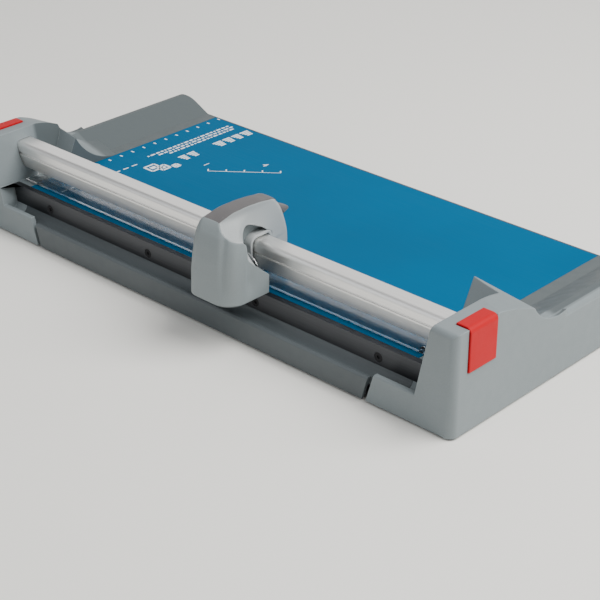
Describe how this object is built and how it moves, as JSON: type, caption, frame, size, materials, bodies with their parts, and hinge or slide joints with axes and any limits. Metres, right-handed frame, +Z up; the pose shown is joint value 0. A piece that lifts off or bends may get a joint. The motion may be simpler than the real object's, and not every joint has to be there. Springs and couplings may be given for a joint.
{
  "type": "rotary paper trimmer",
  "caption": "Desk-top rotary paper trimmer: blue table between two end caps, with a blade head that slides along a guide rail over a clear clamp strip.",
  "frame": {"origin": "on the desk, under the middle of the overall box with the head at its rest place", "axes": "+X along the guide rail to the right, +Y to the back of the table, +Z up"},
  "size_m": [0.392, 0.199, 0.0783],
  "materials": {
    "grey_moulding": "fine spark-eroded texture",
    "light_moulding": "fine spark-eroded texture",
    "blue_table": "satin paint with white print",
    "zinc_steel": "zinc plated",
    "black_steel": "blackened",
    "ground_steel": "ground",
    "spring_steel": "drawn wire",
    "rail_aluminium": "satin anodised",
    "foot_rubber": "matt",
    "black_plastic": "matt",
    "red_plastic": "satin",
    "clear_strip": "clear",
    "dark_inlay": "soft touch",
    "white_acetal": "smooth"
  },
  "bodies": {
    "base": {"base_tray": "grey_moulding", "table_plate": "blue_table", "plate_studs": "zinc_steel", "lower_knife": "ground_steel", "knife_screws": "black_steel", "rubber_feet": "foot_rubber", "end_cap_right": "grey_moulding", "end_cap_left": "grey_moulding", "cap_screws": "zinc_steel", "guide_rail": "rail_aluminium", "rail_plug_right": "black_plastic", "rail_plug_left": "black_plastic", "strip_pins": "black_steel", "strip_spring_right": "spring_steel", "strip_spring_left": "spring_steel"},
    "cutting_head": {"head_front_cover": "grey_moulding", "head_bridge": "light_moulding", "head_top_inlay": "dark_inlay", "rail_collar": "light_moulding", "slide_shoes": "white_acetal", "pressure_shoe": "white_acetal", "blade_axle": "zinc_steel", "blade_bush": "white_acetal", "blade_carrier": "zinc_steel", "carrier_screws": "zinc_steel", "spring_washer": "spring_steel", "axle_nut": "zinc_steel", "blade_guard": "grey_moulding", "head_screws": "zinc_steel"},
    "blade": {"round_blade": "ground_steel", "blade_hub": "black_plastic"},
    "strip": {"clamp_strip": "clear_strip"},
    "clip_right": {"rail_clip_right": "red_plastic"},
    "clip_left": {"rail_clip_left": "red_plastic"}
  },
  "joints": [
    {"name": "head_slide", "type": "slide", "parent": "base", "child": "cutting_head", "axis": [1, 0, 0], "range_m": [-0.19, 0.116]},
    {"name": "blade_spin", "type": "hinge", "parent": "cutting_head", "child": "blade", "pos_m": [0.037, -0.07, 0.0402], "axis": [0, 1, 0], "continuous": true},
    {"name": "clamp_press", "type": "slide", "parent": "base", "child": "strip", "axis": [0, 0, 1], "range_m": [-0.0009, 0], "stiffness_N_per_m": 1500, "deforming": ["strip_spring_right", "strip_spring_left"]},
    {"name": "clip_right_pull", "type": "slide", "parent": "base", "child": "clip_right", "axis": [0, 0, 1], "range_m": [0, 0.024]},
    {"name": "clip_left_pull", "type": "slide", "parent": "base", "child": "clip_left", "axis": [0, 0, 1], "range_m": [0, 0.024]}
  ],
  "couplings": [
    {"joint": "blade_spin", "follows": "head_slide", "rad_per_m": 83.333}
  ]
}
